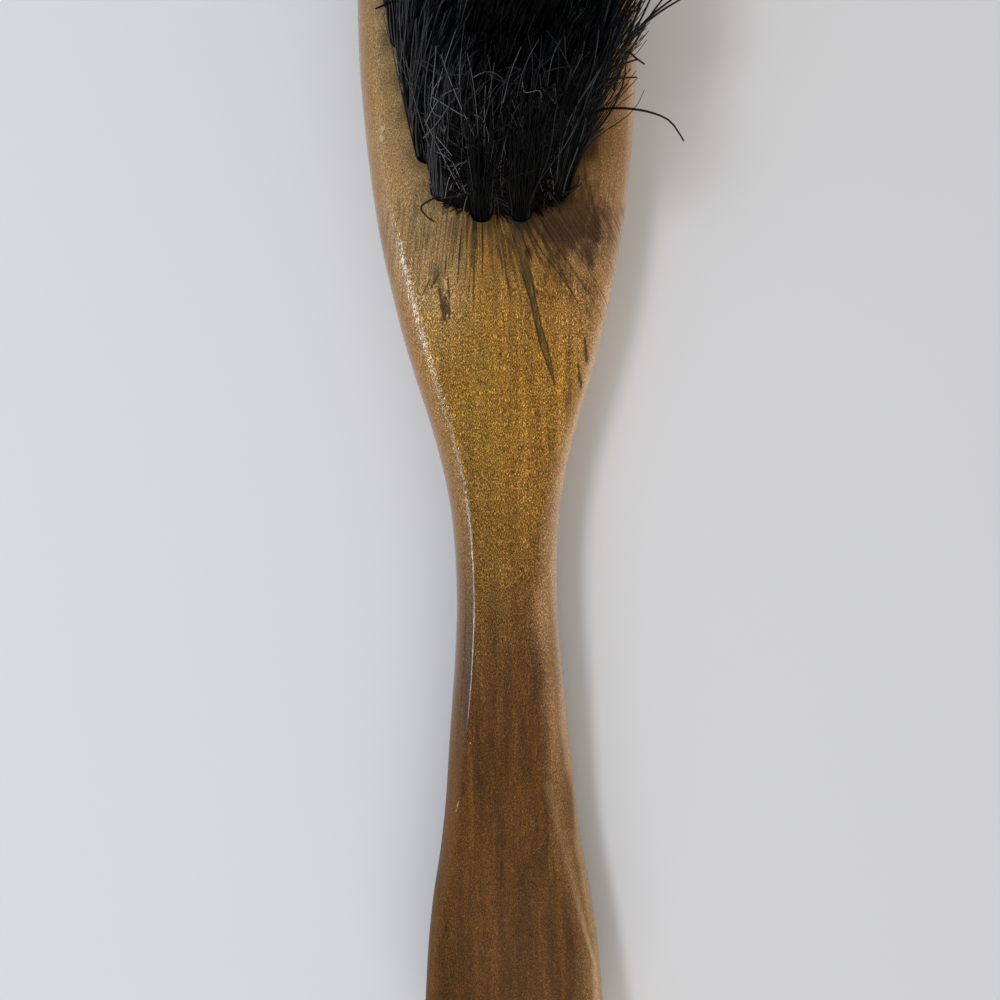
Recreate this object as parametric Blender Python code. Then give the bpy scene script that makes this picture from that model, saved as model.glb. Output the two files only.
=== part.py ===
"""Shoe brush with a shoehorn handle, lying on its flat back with the bristles up.

One piece of varnished wood carries the head, the waisted handle and the shoehorn. The head has
blind holes drilled in its face, and each hole holds a tuft of black hair, doubled over a flat wire
anchor whose ends bite into the wall of the hole.

Frame: +Y runs from the shoehorn's tip to the far end of the head, +X is across the brush and +Z is
up, through the bristles. The origin is under the middle of the brush, on the surface it lies on.
Lengths are in metres.
"""

import math
import random

import bmesh
import bpy
import numpy as np
from mathutils import Matrix, Vector

# Plan of the wood, from the head's far end to the shoehorn's tip
HEAD_END_LENGTH = 0.0405
NECK_LENGTH = 0.1112
HORN_FLARE_LENGTH = 0.0845
HORN_TIP_LENGTH = 0.0185
HEAD_WIDTH = 0.0499
WAIST_WIDTH = 0.0184
HORN_WIDTH = 0.0334

# Roundness of the two ends in plan: 2 is an ellipse, and more is blunter
HEAD_END_POWER = 2.3
HORN_TIP_POWER = 2.2

# Way along the neck from the head's widest point, and how much of the head's extra width is left
NECK_SHARES = (
    (0.0, 1.0), (0.16, 0.980), (0.32, 0.888), (0.44, 0.765), (0.56, 0.585),
    (0.64, 0.432), (0.72, 0.262), (0.80, 0.120), (0.88, 0.034), (1.0, 0.0),
)

# Way along the flare from the waist, and how much of the horn's extra width is reached
FLARE_SHARES = (
    (0.0, 0.0), (0.12, 0.060), (0.23, 0.160), (0.34, 0.265), (0.45, 0.370),
    (0.55, 0.510), (0.65, 0.700), (0.75, 0.835), (0.86, 0.915), (1.0, 1.0),
)

# Thickness of the wood at the centre line
HEAD_THICKNESS = 0.0150
WAIST_THICKNESS = 0.0130
HORN_THICKNESS = 0.0046
HORN_TIP_THICKNESS = 0.0030

# The full head thickness is kept this far from the waist, past the last tufts
SHOULDER_DISTANCE = 0.0580

# How far the back lifts off the surface, and how far the horn's sides curl up at its tip
HORN_LIFT = 0.0018
HORN_TIP_LIFT = 0.0027
HORN_CURL = 0.0066

# The sides start to curl this far from the waist
CURL_DISTANCE = 0.0340

# Width of the rounded-over edges, on the bristle side and on the back
HEAD_FACE_EDGE = 0.0045
HEAD_BACK_EDGE = 0.0090
WAIST_FACE_EDGE = 0.0042
WAIST_BACK_EDGE = 0.0072
HORN_FACE_EDGE = 0.0014
HORN_BACK_EDGE = 0.0018

# Share of the thickness that the upper rounding takes; the lower one has the rest
HEAD_FACE_ROUND_SHARE = 0.34
WAIST_FACE_ROUND_SHARE = 0.44
HORN_FACE_ROUND_SHARE = 0.5

# Number of cross sections along each stretch of the body, and of steps round an edge
HEAD_END_SECTIONS = 9
NECK_SECTIONS = 24
FLARE_SECTIONS = 16
HORN_TIP_SECTIONS = 6
EDGE_STEPS = 4
FACE_STEPS = 8
OUTLINE_STEPS = 60
WIDEST_EDGE_SHARE = 0.8

# Drilled rows, from the handle to the far end: tufts in the row, and its share of the field's width
ROWS_COUNTS_AND_SHARES = (
    (4, 0.56), (5, 0.70), (5, 0.77), (6, 0.84), (6, 0.92), (6, 0.98),
    (6, 1.0), (6, 0.98), (5, 0.90), (5, 0.78), (4, 0.55),
)
ROW_PITCH = 0.0074
ROW_BOW = 0.0042
FIELD_SIDE_MARGIN = 0.0070
FIELD_END_MARGIN = 0.0110

# Blind holes, with the wood left under them
HOLE_DIAMETER = 0.0042
HOLE_FLOOR = 0.0055
HOLE_SIDES = 8

# Flat wire anchor across the doubled root of each tuft
ANCHOR_THICKNESS = 0.0005
ANCHOR_HEIGHT = 0.0018
ANCHOR_BITE = 0.0005
ANCHOR_RISE = 0.0012
ANCHOR_TURN = math.radians(45)

# Tufts: locks of hair that rise from the root, lean across and along the head, and fan out
BRISTLE_LENGTH = 0.0240
BRISTLE_LENGTH_SPREAD = 0.0012
LOCKS_PER_TUFT = 6
LOCK_RINGS_SHARES = ((0.38, 0.86), (0.74, 0.64))
TUFT_SPREAD_SHARE = 0.62
LEAN_ACROSS = 0.0031
LEAN_ALONG = 0.0065
FAN_ACROSS_SHARE = 0.07
FAN_ALONG_SHARE = 0.05
TIP_SCATTER = 0.0003
BEND_POWER = 1.7
SCATTER_SEED = 11

# Clearance of every piece to its seat, and how far cutters run past the face
FIT_GAP = 0.0003
OVERRUN = 0.0020

SHARP_ANGLE = math.radians(38)

VARNISHED_WOOD_COLOUR = (0.30, 0.155, 0.045)
VARNISHED_WOOD_ROUGHNESS = 0.32
BLACK_HAIR_COLOUR = (0.012, 0.012, 0.014)
BLACK_HAIR_ROUGHNESS = 0.45

BRUSH_LENGTH = HEAD_END_LENGTH + NECK_LENGTH + HORN_FLARE_LENGTH + HORN_TIP_LENGTH
HORN_TIP_Y = -BRUSH_LENGTH / 2
HORN_WIDEST_Y = HORN_TIP_Y + HORN_TIP_LENGTH
WAIST_Y = HORN_WIDEST_Y + HORN_FLARE_LENGTH
HEAD_WIDEST_Y = WAIST_Y + NECK_LENGTH
HEAD_TIP_Y = HEAD_WIDEST_Y + HEAD_END_LENGTH
SHOULDER_Y = WAIST_Y + SHOULDER_DISTANCE
CURL_Y = WAIST_Y - CURL_DISTANCE


def clear_scene():
    """Removes every object, so that the file holds only the brush."""
    for old in list(bpy.data.objects):
        bpy.data.objects.remove(old, do_unlink=True)


def new_collection(name):
    """A collection of its own for the parts or for the cutters."""
    collection = bpy.data.collections.new(name)
    bpy.context.scene.collection.children.link(collection)
    return collection


def new_material(name, colour, roughness):
    """A Principled material of one colour."""
    material = bpy.data.materials.new(name)
    material.use_nodes = True
    shader = material.node_tree.nodes["Principled BSDF"]
    shader.inputs["Base Color"].default_value = (*colour, 1.0)
    shader.inputs["Roughness"].default_value = roughness
    shader.inputs["Metallic"].default_value = 0.0
    return material


def new_object(name, shape, collection, material=None):
    """Makes a mesh object from a bmesh, and frees the bmesh."""
    mesh = bpy.data.meshes.new(name)
    shape.to_mesh(mesh)
    shape.free()
    made = bpy.data.objects.new(name, mesh)
    collection.objects.link(made)
    if material:
        mesh.materials.append(material)
    return made


def smooth(share):
    """Eases a share from 0 to 1, level at both ends."""
    share = min(max(share, 0.0), 1.0)
    return share * share * (3 - 2 * share)


def through(points, at):
    """Reads a smooth curve through (place, value) points, level at its first and last point."""
    slopes = [0.0]
    for (x0, y0), (_, _), (x2, y2) in zip(points, points[1:], points[2:]):
        slopes.append((y2 - y0) / (x2 - x0))
    slopes.append(0.0)
    for i, ((x0, y0), (x1, y1)) in enumerate(zip(points, points[1:])):
        if at <= x1 or i == len(points) - 2:
            span = x1 - x0
            t = min(max((at - x0) / span, 0.0), 1.0)
            rise = slopes[i] * span * (t**3 - 2 * t**2 + t) + slopes[i + 1] * span * (t**3 - t**2)
            return y0 + (y1 - y0) * smooth(t) + rise
    return points[-1][1]


def rounded_end(share, power):
    """Half width left at a share of the way to a rounded end, as a share of the full one."""
    return max(1 - min(max(share, 0.0), 1.0) ** power, 0.0) ** (1 / power)


def half_width(y):
    """Half the width of the wood in plan."""
    if y >= HEAD_WIDEST_Y:
        return HEAD_WIDTH / 2 * rounded_end((y - HEAD_WIDEST_Y) / HEAD_END_LENGTH, HEAD_END_POWER)
    if y >= WAIST_Y:
        share = through(NECK_SHARES, (HEAD_WIDEST_Y - y) / NECK_LENGTH)
        return (WAIST_WIDTH + (HEAD_WIDTH - WAIST_WIDTH) * share) / 2
    if y >= HORN_WIDEST_Y:
        share = through(FLARE_SHARES, (WAIST_Y - y) / HORN_FLARE_LENGTH)
        return (WAIST_WIDTH + (HORN_WIDTH - WAIST_WIDTH) * share) / 2
    return HORN_WIDTH / 2 * rounded_end((HORN_WIDEST_Y - y) / HORN_TIP_LENGTH, HORN_TIP_POWER)


def landmark(y, tip, horn, waist, head):
    """Eases a size from the horn's tip to its widest point, the waist and the head."""
    if y >= WAIST_Y:
        return waist + (head - waist) * smooth((y - WAIST_Y) / (SHOULDER_Y - WAIST_Y))
    if y >= HORN_WIDEST_Y:
        return horn + (waist - horn) * smooth((y - HORN_WIDEST_Y) / HORN_FLARE_LENGTH)
    return tip + (horn - tip) * smooth((y - HORN_TIP_Y) / HORN_TIP_LENGTH)


def section_places():
    """Places of the cross sections along the body, closer together towards the two rounded ends."""
    places = []
    for i in range(1, HORN_TIP_SECTIONS):
        turn = math.pi / 2 * i / HORN_TIP_SECTIONS
        places.append(HORN_WIDEST_Y - HORN_TIP_LENGTH * math.cos(turn))
    for i in range(FLARE_SECTIONS):
        places.append(HORN_WIDEST_Y + HORN_FLARE_LENGTH * i / FLARE_SECTIONS)
    for i in range(NECK_SECTIONS):
        places.append(WAIST_Y + NECK_LENGTH * i / NECK_SECTIONS)
    for i in range(HEAD_END_SECTIONS):
        turn = math.pi / 2 * i / HEAD_END_SECTIONS
        places.append(HEAD_WIDEST_Y + HEAD_END_LENGTH * math.sin(turn))
    return places


def outline():
    """Points all round the edge of the wood in plan, as a closed loop."""
    right = []
    for i in range(OUTLINE_STEPS + 1):
        turn = math.pi * i / OUTLINE_STEPS
        y = (HEAD_TIP_Y + HORN_TIP_Y) / 2 - BRUSH_LENGTH / 2 * math.cos(turn)
        right.append((half_width(y), y))
    left = [(-x, y) for x, y in reversed(right[1:-1])]
    return np.array(right + left)


def distance_inside(x, y, loop):
    """Distance in plan from a point of the wood to its edge."""
    start = loop
    step = np.roll(loop, -1, axis=0) - start
    away = np.array((x, y)) - start
    share = np.clip((away * step).sum(axis=1) / (step * step).sum(axis=1), 0, 1)
    return float(np.sqrt(((away - step * share[:, None]) ** 2).sum(axis=1).min()))


def round_over(distance, width):
    """Share of a rounding's height that is still missing at a distance inside the edge."""
    short = 1 - min(distance / width, 1.0)
    return 1 - math.sqrt(1 - short * short)


def places_across(half, edge):
    """Places across one face, from edge to edge: close on the roundings, even on the flat."""
    edge = min(edge, WIDEST_EDGE_SHARE * half)
    rounded = []
    for i in range(EDGE_STEPS + 1):
        rounded.append(half - edge * (1 - math.cos(math.pi / 2 * i / EDGE_STEPS)))
    flat = [(half - edge) * (1 - 2 * i / FACE_STEPS) for i in range(1, FACE_STEPS)]
    return [-x for x in rounded] + [-x for x in flat] + rounded[::-1]


def section(y, loop):
    """One closed cross section of the body: the bristle side from left to right, then the back."""
    half = half_width(y)
    thickness = landmark(y, HORN_TIP_THICKNESS, HORN_THICKNESS, WAIST_THICKNESS, HEAD_THICKNESS)
    lift = landmark(y, HORN_TIP_LIFT, HORN_LIFT, 0, 0)
    curl = HORN_CURL * smooth((CURL_Y - y) / (CURL_Y - HORN_TIP_Y))
    face_edge = landmark(y, HORN_FACE_EDGE, HORN_FACE_EDGE, WAIST_FACE_EDGE, HEAD_FACE_EDGE)
    back_edge = landmark(y, HORN_BACK_EDGE, HORN_BACK_EDGE, WAIST_BACK_EDGE, HEAD_BACK_EDGE)
    face_round = thickness * landmark(
        y, HORN_FACE_ROUND_SHARE, HORN_FACE_ROUND_SHARE, WAIST_FACE_ROUND_SHARE, HEAD_FACE_ROUND_SHARE
    )
    points = []
    for x in places_across(half, face_edge):
        gap = distance_inside(x, y, loop)
        base = lift + curl * (2 * x / HORN_WIDTH) ** 2
        points.append((x, y, base + thickness - face_round * round_over(gap, face_edge)))
    for x in places_across(half, back_edge)[-2:0:-1]:
        gap = distance_inside(x, y, loop)
        base = lift + curl * (2 * x / HORN_WIDTH) ** 2
        points.append((x, y, base + (thickness - face_round) * round_over(gap, back_edge)))
    return points


def end_point(y, lift, thickness, face_round_share):
    """The point that closes the body at one end."""
    return (0, y, lift + thickness * (1 - face_round_share))


def lofted_body():
    """The wood before it is drilled: cross sections joined from the horn's tip to the head's end."""
    shape = bmesh.new()
    loop = outline()
    rings = []
    for y in section_places():
        rings.append([shape.verts.new(point) for point in section(y, loop)])
    for lower, upper in zip(rings, rings[1:]):
        for i in range(len(lower)):
            j = (i + 1) % len(lower)
            shape.faces.new((lower[i], lower[j], upper[j], upper[i]))
    ends = (
        (rings[0], end_point(HORN_TIP_Y, HORN_TIP_LIFT, HORN_TIP_THICKNESS, HORN_FACE_ROUND_SHARE)),
        (rings[-1], end_point(HEAD_TIP_Y, 0, HEAD_THICKNESS, HEAD_FACE_ROUND_SHARE)),
    )
    for ring, point in ends:
        tip = shape.verts.new(point)
        for i in range(len(ring)):
            shape.faces.new((ring[i], ring[(i + 1) % len(ring)], tip))
    bmesh.ops.recalc_face_normals(shape, faces=shape.faces)
    return shape


def tuft_places():
    """Row, number in the row and place (x, y) of every tuft, from the handle end outwards."""
    places = []
    field_half_width = HEAD_WIDTH / 2 - FIELD_SIDE_MARGIN
    last_row = len(ROWS_COUNTS_AND_SHARES) - 1
    for row, (count, share) in enumerate(ROWS_COUNTS_AND_SHARES):
        row_y = HEAD_TIP_Y - FIELD_END_MARGIN - (last_row - row) * ROW_PITCH
        bow = ROW_BOW * (1 - 2 * row / last_row)
        for number in range(count):
            side = 2 * number / (count - 1) - 1
            places.append((row, number, side * share * field_half_width, row_y + bow * side * side))
    return places


def prism(sides, corner_radius, low, high):
    """An upright prism on x = y = 0."""
    shape = bmesh.new()
    bmesh.ops.create_cone(
        shape, cap_ends=True, segments=sides, radius1=corner_radius, radius2=corner_radius,
        depth=high - low, matrix=Matrix.Translation((0, 0, (low + high) / 2)),
    )
    return shape


def anchor_block(grow):
    """The flat wire anchor across a hole at x = y = 0, larger all round by grow."""
    size = (
        HOLE_DIAMETER + 2 * (ANCHOR_BITE + grow),
        ANCHOR_THICKNESS + 2 * grow,
        ANCHOR_HEIGHT + 2 * grow,
    )
    middle = HOLE_FLOOR + FIT_GAP + ANCHOR_RISE + ANCHOR_HEIGHT / 2
    turn = Matrix.Rotation(ANCHOR_TURN, 4, "Z")
    shape = bmesh.new()
    bmesh.ops.create_cube(
        shape, size=1, matrix=Matrix.Translation((0, 0, middle)) @ turn @ Matrix.Diagonal((*size, 1))
    )
    return shape


def combine(target, operation, other):
    """Adds an exact Boolean of the other object to the target."""
    boolean = target.modifiers.new(other.name, "BOOLEAN")
    boolean.operation = operation
    boolean.solver = "EXACT"
    boolean.object = other


def joined_mesh(first, second, helpers):
    """The mesh of two shapes joined into one closed body."""
    kept = new_object("joined", first, helpers)
    added = new_object("added", second, helpers)
    combine(kept, "UNION", added)
    bpy.context.view_layer.update()
    mesh = bpy.data.meshes.new_from_object(kept.evaluated_get(bpy.context.evaluated_depsgraph_get()))
    bpy.data.objects.remove(kept)
    bpy.data.objects.remove(added)
    return mesh


def make_body(places, parts, cutters, material):
    """The wooden body, with a blind hole and an anchor slot for every tuft."""
    body = new_object("wooden_body", lofted_body(), parts, material)
    corner_radius = HOLE_DIAMETER / 2 / math.cos(math.pi / HOLE_SIDES)
    drilled = prism(HOLE_SIDES, corner_radius, HOLE_FLOOR, HEAD_THICKNESS + OVERRUN)
    hole = joined_mesh(drilled, anchor_block(FIT_GAP), cutters)
    holes = bmesh.new()
    for _, _, x, y in places:
        made = len(holes.verts)
        holes.from_mesh(hole)
        holes.verts.ensure_lookup_table()
        bmesh.ops.translate(holes, verts=holes.verts[made:], vec=(x, y, 0))
    cutter = new_object("hole_cutter", holes, cutters)
    cutter.hide_render = True
    cutter.display_type = "WIRE"
    combine(body, "DIFFERENCE", cutter)
    body.data.shade_smooth()
    body.data.set_sharp_from_angle(angle=SHARP_ANGLE)
    return body


def make_root(cutters):
    """Mesh of the doubled root of a tuft, packed round its anchor, for a tuft at x = y = 0."""
    packed = prism(LOCKS_PER_TUFT, HOLE_DIAMETER / 2 - FIT_GAP, HOLE_FLOOR + FIT_GAP, HEAD_THICKNESS)
    return joined_mesh(packed, anchor_block(0), cutters)


def field_centre_y():
    """Middle of the bristle field along the brush."""
    return HEAD_TIP_Y - FIELD_END_MARGIN - ROW_PITCH * (len(ROWS_COUNTS_AND_SHARES) - 1) / 2


def scattered(reach, chance):
    """A level step of up to reach each way."""
    return Vector((chance.uniform(-reach, reach), chance.uniform(-reach, reach), 0))


def grow_lock(shape, face, lean, chance):
    """Draws one three-sided lock up from a face of the root and ends it in a point."""
    corners = [vert.co.copy() for vert in face.verts]
    middle = sum(corners, Vector()) / len(corners)
    outward = Vector((middle.x, middle.y, 0)) * TUFT_SPREAD_SHARE
    length = BRISTLE_LENGTH - chance.uniform(0, BRISTLE_LENGTH_SPREAD)
    lean = lean + scattered(TIP_SCATTER, chance)

    def axis_at(share):
        return middle + outward * share + lean * share**BEND_POWER + Vector((0, 0, length * share))

    for share, thickness_share in LOCK_RINGS_SHARES:
        face = bmesh.ops.extrude_discrete_faces(shape, faces=[face])["faces"][0]
        for vert, corner in zip(face.verts, corners):
            vert.co = axis_at(share) + (corner - middle) * thickness_share
    tip = bmesh.ops.poke(shape, faces=[face])["verts"][0]
    tip.co = axis_at(1)


def make_tuft(name, root, x, y, parts, material, chance):
    """One tuft: its packed root with the anchor, and the locks that rise from it."""
    shape = bmesh.new()
    shape.from_mesh(root)
    top = max(shape.faces, key=lambda face: face.calc_center_median().z)
    from_centre = y - field_centre_y()
    lean = Vector((LEAN_ACROSS + FAN_ACROSS_SHARE * x, LEAN_ALONG + FAN_ALONG_SHARE * from_centre, 0))
    for wedge in bmesh.ops.poke(shape, faces=[top])["faces"]:
        grow_lock(shape, wedge, lean, chance)
    bmesh.ops.recalc_face_normals(shape, faces=shape.faces)
    tuft = new_object(name, shape, parts, material)
    tuft.location = (x, y, 0)
    return tuft


def main():
    """Builds the brush."""
    clear_scene()
    parts = new_collection("shoe_brush")
    cutters = new_collection("cutters")
    wood = new_material("varnished_wood", VARNISHED_WOOD_COLOUR, VARNISHED_WOOD_ROUGHNESS)
    hair = new_material("black_hair", BLACK_HAIR_COLOUR, BLACK_HAIR_ROUGHNESS)
    places = tuft_places()
    make_body(places, parts, cutters, wood)
    root = make_root(cutters)
    chance = random.Random(SCATTER_SEED)
    for row, number, x, y in places:
        make_tuft(f"tuft_row{row + 1:02d}_{number + 1}", root, x, y, parts, hair, chance)


main()
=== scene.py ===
"""Finishes the shoe brush: stained, varnished wood and tufts of single black hairs."""

import math

import bmesh
import bpy
import numpy as np
from mathutils import Matrix, Vector, noise


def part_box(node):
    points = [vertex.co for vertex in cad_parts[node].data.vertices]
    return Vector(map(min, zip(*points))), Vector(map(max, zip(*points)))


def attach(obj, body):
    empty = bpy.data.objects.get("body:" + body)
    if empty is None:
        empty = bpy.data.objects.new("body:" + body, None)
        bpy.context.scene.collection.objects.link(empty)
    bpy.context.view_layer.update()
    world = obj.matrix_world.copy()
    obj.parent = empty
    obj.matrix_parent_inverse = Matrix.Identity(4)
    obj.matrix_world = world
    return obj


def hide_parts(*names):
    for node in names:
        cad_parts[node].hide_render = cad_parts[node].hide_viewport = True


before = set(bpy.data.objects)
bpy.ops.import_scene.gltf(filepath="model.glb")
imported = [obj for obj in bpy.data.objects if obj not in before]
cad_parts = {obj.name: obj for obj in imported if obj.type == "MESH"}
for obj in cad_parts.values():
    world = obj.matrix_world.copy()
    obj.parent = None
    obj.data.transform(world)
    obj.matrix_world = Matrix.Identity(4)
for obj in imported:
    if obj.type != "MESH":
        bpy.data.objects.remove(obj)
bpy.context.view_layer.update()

MM = 0.001

# Camera: looks straight down, a little past the middle of the brush and turned by a degree
CAMERA_PLACE = (-0.0010, -0.0071, 0.145)
CAMERA_ROLL = math.radians(-0.985)
CAMERA_FOV = math.radians(67.1)
CAMERA_NEAR = 0.01

# Soft studio light, two narrow windows on the left and pale walls on all four sides: each one's
# place, width and height, power and colour
LIGHTS = (
    ("neck_window", (-0.41, 0.10, 0.68), (0.22, 0.17), 1.75, (240, 246, 255)),
    ("waist_window", (-0.41, -0.21, 0.68), (0.34, 0.06), 0.8, (240, 246, 255)),
    ("left_wall", (-0.85, -0.15, 0.50), (1.20, 0.80), 2.4, (200, 220, 255)),
    ("right_wall", (0.80, -0.10, 0.60), (1.20, 1.20), 1.7, (255, 243, 224)),
    ("near_wall", (0.0, -3.00, 0.95), (3.20, 1.36), 115.0, (255, 246, 230)),
    ("far_wall", (0.0, 0.90, 0.80), (1.20, 0.50), 2.2, (255, 246, 230)),
)
SKY_COLOUR = (240, 244, 255)
SKY_STRENGTH = 0.19
FLOOR_SIZE = 2.4
FLOOR_COLOUR = (215, 216, 219)
FLOOR_ROUGHNESS = 0.9

# The wood, as the solid has it
(LOW, HIGH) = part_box("wooden_body")
HEAD_TIP_Y = HIGH.y
HORN_TIP_Y = LOW.y
HEAD_WIDTH = HIGH.x - LOW.x
HEAD_THICKNESS = HIGH.z
HEAD_END_LENGTH = 0.0405
HORN_TIP_LENGTH = 0.0185
HORN_FLARE_LENGTH = 0.0845
WAIST_WIDTH = 0.0184
HORN_WIDTH = 0.0334
HEAD_END_POWER = 2.3
HORN_TIP_POWER = 2.2
NECK_SHARES = (
    (0.0, 1.0), (0.16, 0.980), (0.32, 0.888), (0.44, 0.765), (0.56, 0.585),
    (0.64, 0.432), (0.72, 0.262), (0.80, 0.120), (0.88, 0.034), (1.0, 0.0),
)
FLARE_SHARES = (
    (0.0, 0.0), (0.12, 0.060), (0.23, 0.160), (0.34, 0.265), (0.45, 0.370),
    (0.55, 0.510), (0.65, 0.700), (0.75, 0.835), (0.86, 0.915), (1.0, 1.0),
)
WAIST_THICKNESS = 0.0130
HORN_THICKNESS = 0.0046
HORN_TIP_THICKNESS = 0.0030
SHOULDER_DISTANCE = 0.0580
HORN_LIFT = 0.0018
HORN_TIP_LIFT = 0.0027
HORN_CURL = 0.0066
CURL_DISTANCE = 0.0340
HEAD_FACE_EDGE = 0.0045
HEAD_BACK_EDGE = 0.0090
WAIST_FACE_EDGE = 0.0042
WAIST_BACK_EDGE = 0.0072
HORN_FACE_EDGE = 0.0014
HORN_BACK_EDGE = 0.0018
HEAD_FACE_ROUND_SHARE = 0.34
WAIST_FACE_ROUND_SHARE = 0.44
HORN_FACE_ROUND_SHARE = 0.5
WIDEST_EDGE_SHARE = 0.8

HORN_WIDEST_Y = HORN_TIP_Y + HORN_TIP_LENGTH
WAIST_Y = HORN_WIDEST_Y + HORN_FLARE_LENGTH
HEAD_WIDEST_Y = HEAD_TIP_Y - HEAD_END_LENGTH
NECK_LENGTH = HEAD_WIDEST_Y - WAIST_Y
SHOULDER_Y = WAIST_Y + SHOULDER_DISTANCE
CURL_Y = WAIST_Y - CURL_DISTANCE

# Fineness of the wood's mesh: closest on the stained neck
OUTLINE_STEPS = 420
HANDLE_STEP = 0.00070
NECK_STEP = 0.00022
HEAD_STEP = 0.00050
NECK_FROM_Y = 0.0080
NECK_TO_Y = 0.0470
END_SECTIONS = 26
FACE_EDGE_STEPS = 22
BACK_EDGE_STEPS = 10
FACE_STEPS = 112
BACK_STEPS = 20
CREASE_ANGLE = math.radians(50)
# How many points are measured at once, to spare memory
POINTS_AT_ONCE = 2000

# Drilled holes
HOLE_RADIUS = 0.0021
HOLE_SIDES = 20
HOLE_FLOOR = 0.0055
OVERRUN = 0.002

# Marks on the face: places in millimetres, each with the half width of the mark there
GOUGE = (
    (1.0, 38.0, 0.35), (2.2, 36.6, 0.60), (3.7, 33.9, 0.95), (4.5, 30.7, 0.72), (5.3, 27.3, 0.50),
    (6.1, 23.1, 0.50), (7.1, 19.3, 0.62), (7.9, 16.5, 0.42), (8.8, 12.7, 0.08),
)
DARK_MARKS = (
    ((-10.7, 28.9, 0.40), (-10.2, 24.6, 0.34)),
    ((-9.3, 31.0, 0.22), (-9.2, 25.0, 0.36)),
    ((-9.9, 27.6, 0.40), (-9.7, 23.9, 0.24)),
    ((-10.8, 32.2, 0.15), (-12.1, 30.0, 0.25)),
    ((-9.6, 34.8, 0.12), (-9.8, 32.2, 0.22)),
    ((-12.4, 31.2, 0.14), (-13.7, 28.6, 0.18)),
    ((0.0, 25.0, 0.13), (0.3, 22.9, 0.17)),
    ((-0.5, 18.2, 0.16), (-0.5, 17.9, 0.16)),
    ((3.4, 40.1, 0.18), (3.7, 38.5, 0.32)),
    ((14.2, 20.4, 0.22), (14.5, 17.4, 0.46)),
    ((13.0, 15.9, 0.22), (13.4, 13.2, 0.46)),
    ((5.6, 37.4, 0.12), (9.8, 31.9, 0.20), (13.5, 26.1, 0.10)),
    ((9.5, 34.3, 0.10), (12.9, 26.6, 0.12)),
    ((-12.3, -80.6, 0.10), (-12.1, -85.2, 0.16)),
)
PALE_MARKS_AND_HIGHLIGHTS = (
    ((-20.2, 57.6, 0.45), (-20.2, 57.2, 0.45)),
    ((-20.4, 56.0, 0.50), (-20.4, 55.5, 0.50)),
    ((-10.0, 31.3, 0.22), (-9.5, 29.3, 0.20)),
    # The last two are painted highlight: faint bits of the highlight line on the left edge below the waist
    ((-7.1, -49.6, 0.16), (-6.9, -50.2, 0.16)),
    ((-9.2, -60.2, 0.08), (-9.8, -62.7, 0.08)),
)
# A painted highlight along the raised right edge of the shoehorn, given in the same way
RIDGE_HIGHLIGHT = (
    (6.9, -58.0, 0.90), (8.7, -66.4, 0.80), (11.2, -77.0, 0.55), (13.2, -85.5, 0.36), (14.8, -91.5, 0.24),
    (16.2, -97.7, 0.22),
)

# The largest distance from a mark that is stored, in its half widths, and how far a surface has
# to face up to take marks and stains
FAR_FROM_MARK = 6.0
FACE_NORMAL_Z = 0.3

# Stains: place, reach across and along in millimetres, and strength. The broad ones right of the tufts, at
# (10.5, 41.5) and (10.5, 31.5), are partly real stain and partly painted shade of the hair
STAINS = (
    (8.8, 41.9, 3.0, 4.2, 0.80), (16.0, 40.5, 2.0, 4.8, 0.95), (14.6, 35.4, 2.2, 3.6, 0.80),
    (10.4, 35.8, 2.4, 3.0, 0.70), (4.6, 35.6, 0.9, 1.6, 0.90), (13.4, 47.8, 3.0, 4.0, 0.60),
    (16.3, 54.7, 2.0, 6.0, 0.60), (10.5, 41.5, 8.5, 7.5, 1.05), (-13.5, 37.9, 2.0, 4.0, 0.40),
    (10.5, 31.5, 6.5, 7.0, 0.50), (-11.4, 32.2, 1.5, 3.5, 0.55), (-13.9, 44.9, 1.6, 4.0, 0.40),
    (14.3, 28.9, 2.0, 3.5, 0.40), (2.0, 37.7, 1.5, 2.4, 0.50), (14.5, 27.0, 3.2, 8.0, 0.45),
    (11.2, 11.0, 1.9, 13.0, 0.36), (12.6, 27.0, 2.6, 7.0, 0.36),
)

# The gouge's depth, and the waves of the worn surface
GOUGE_DEPTH = 0.00010
WAVE_HEIGHT = 0.00005
WAVE_LENGTH = 0.009

# The fan of cracks below the tufts, in millimetres: where its left and right halves would meet,
# where it starts, and how far from its middle it stops spreading
FAN_X = -2.4
FAN_LEFT_Y = 90.2
FAN_RIGHT_Y = 54.0
FAN_BASE_Y = 43.0
FAN_LIMIT = 7.0

# Families of cracks: how many to a millimetre, half width, shortest and longest length in
# millimetres, and where in the pattern each family starts
CRACK_LAYERS = (
    (0.36, 0.30, 11.0, 27.0, 0.0), (1.1, 0.27, 7.0, 22.0, 40.0), (2.0, 0.20, 5.0, 16.0, 90.0),
)
# The highest place where cracks start and how far below it the lowest start, in millimetres, how
# much more are short than long, the least strength, and the share of a line that is darkest
CRACK_TOP_Y = FAN_BASE_Y + 3
CRACK_STAGGER = 7.0
CRACK_LENGTH_POWER = 1.3
WEAKEST_CRACK = 0.5
CRACK_CORE_SHARE = 0.3
# How a crack widens and fades out with the share of its length that is left, and fades in with
# the distance from its start
CRACK_TAPER, CRACK_FADE_OUT, CRACK_FADE_IN = (0.0, 0.8, 0.35, 1.0), (0.0, 0.2), (0.0, 1.0)

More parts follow.
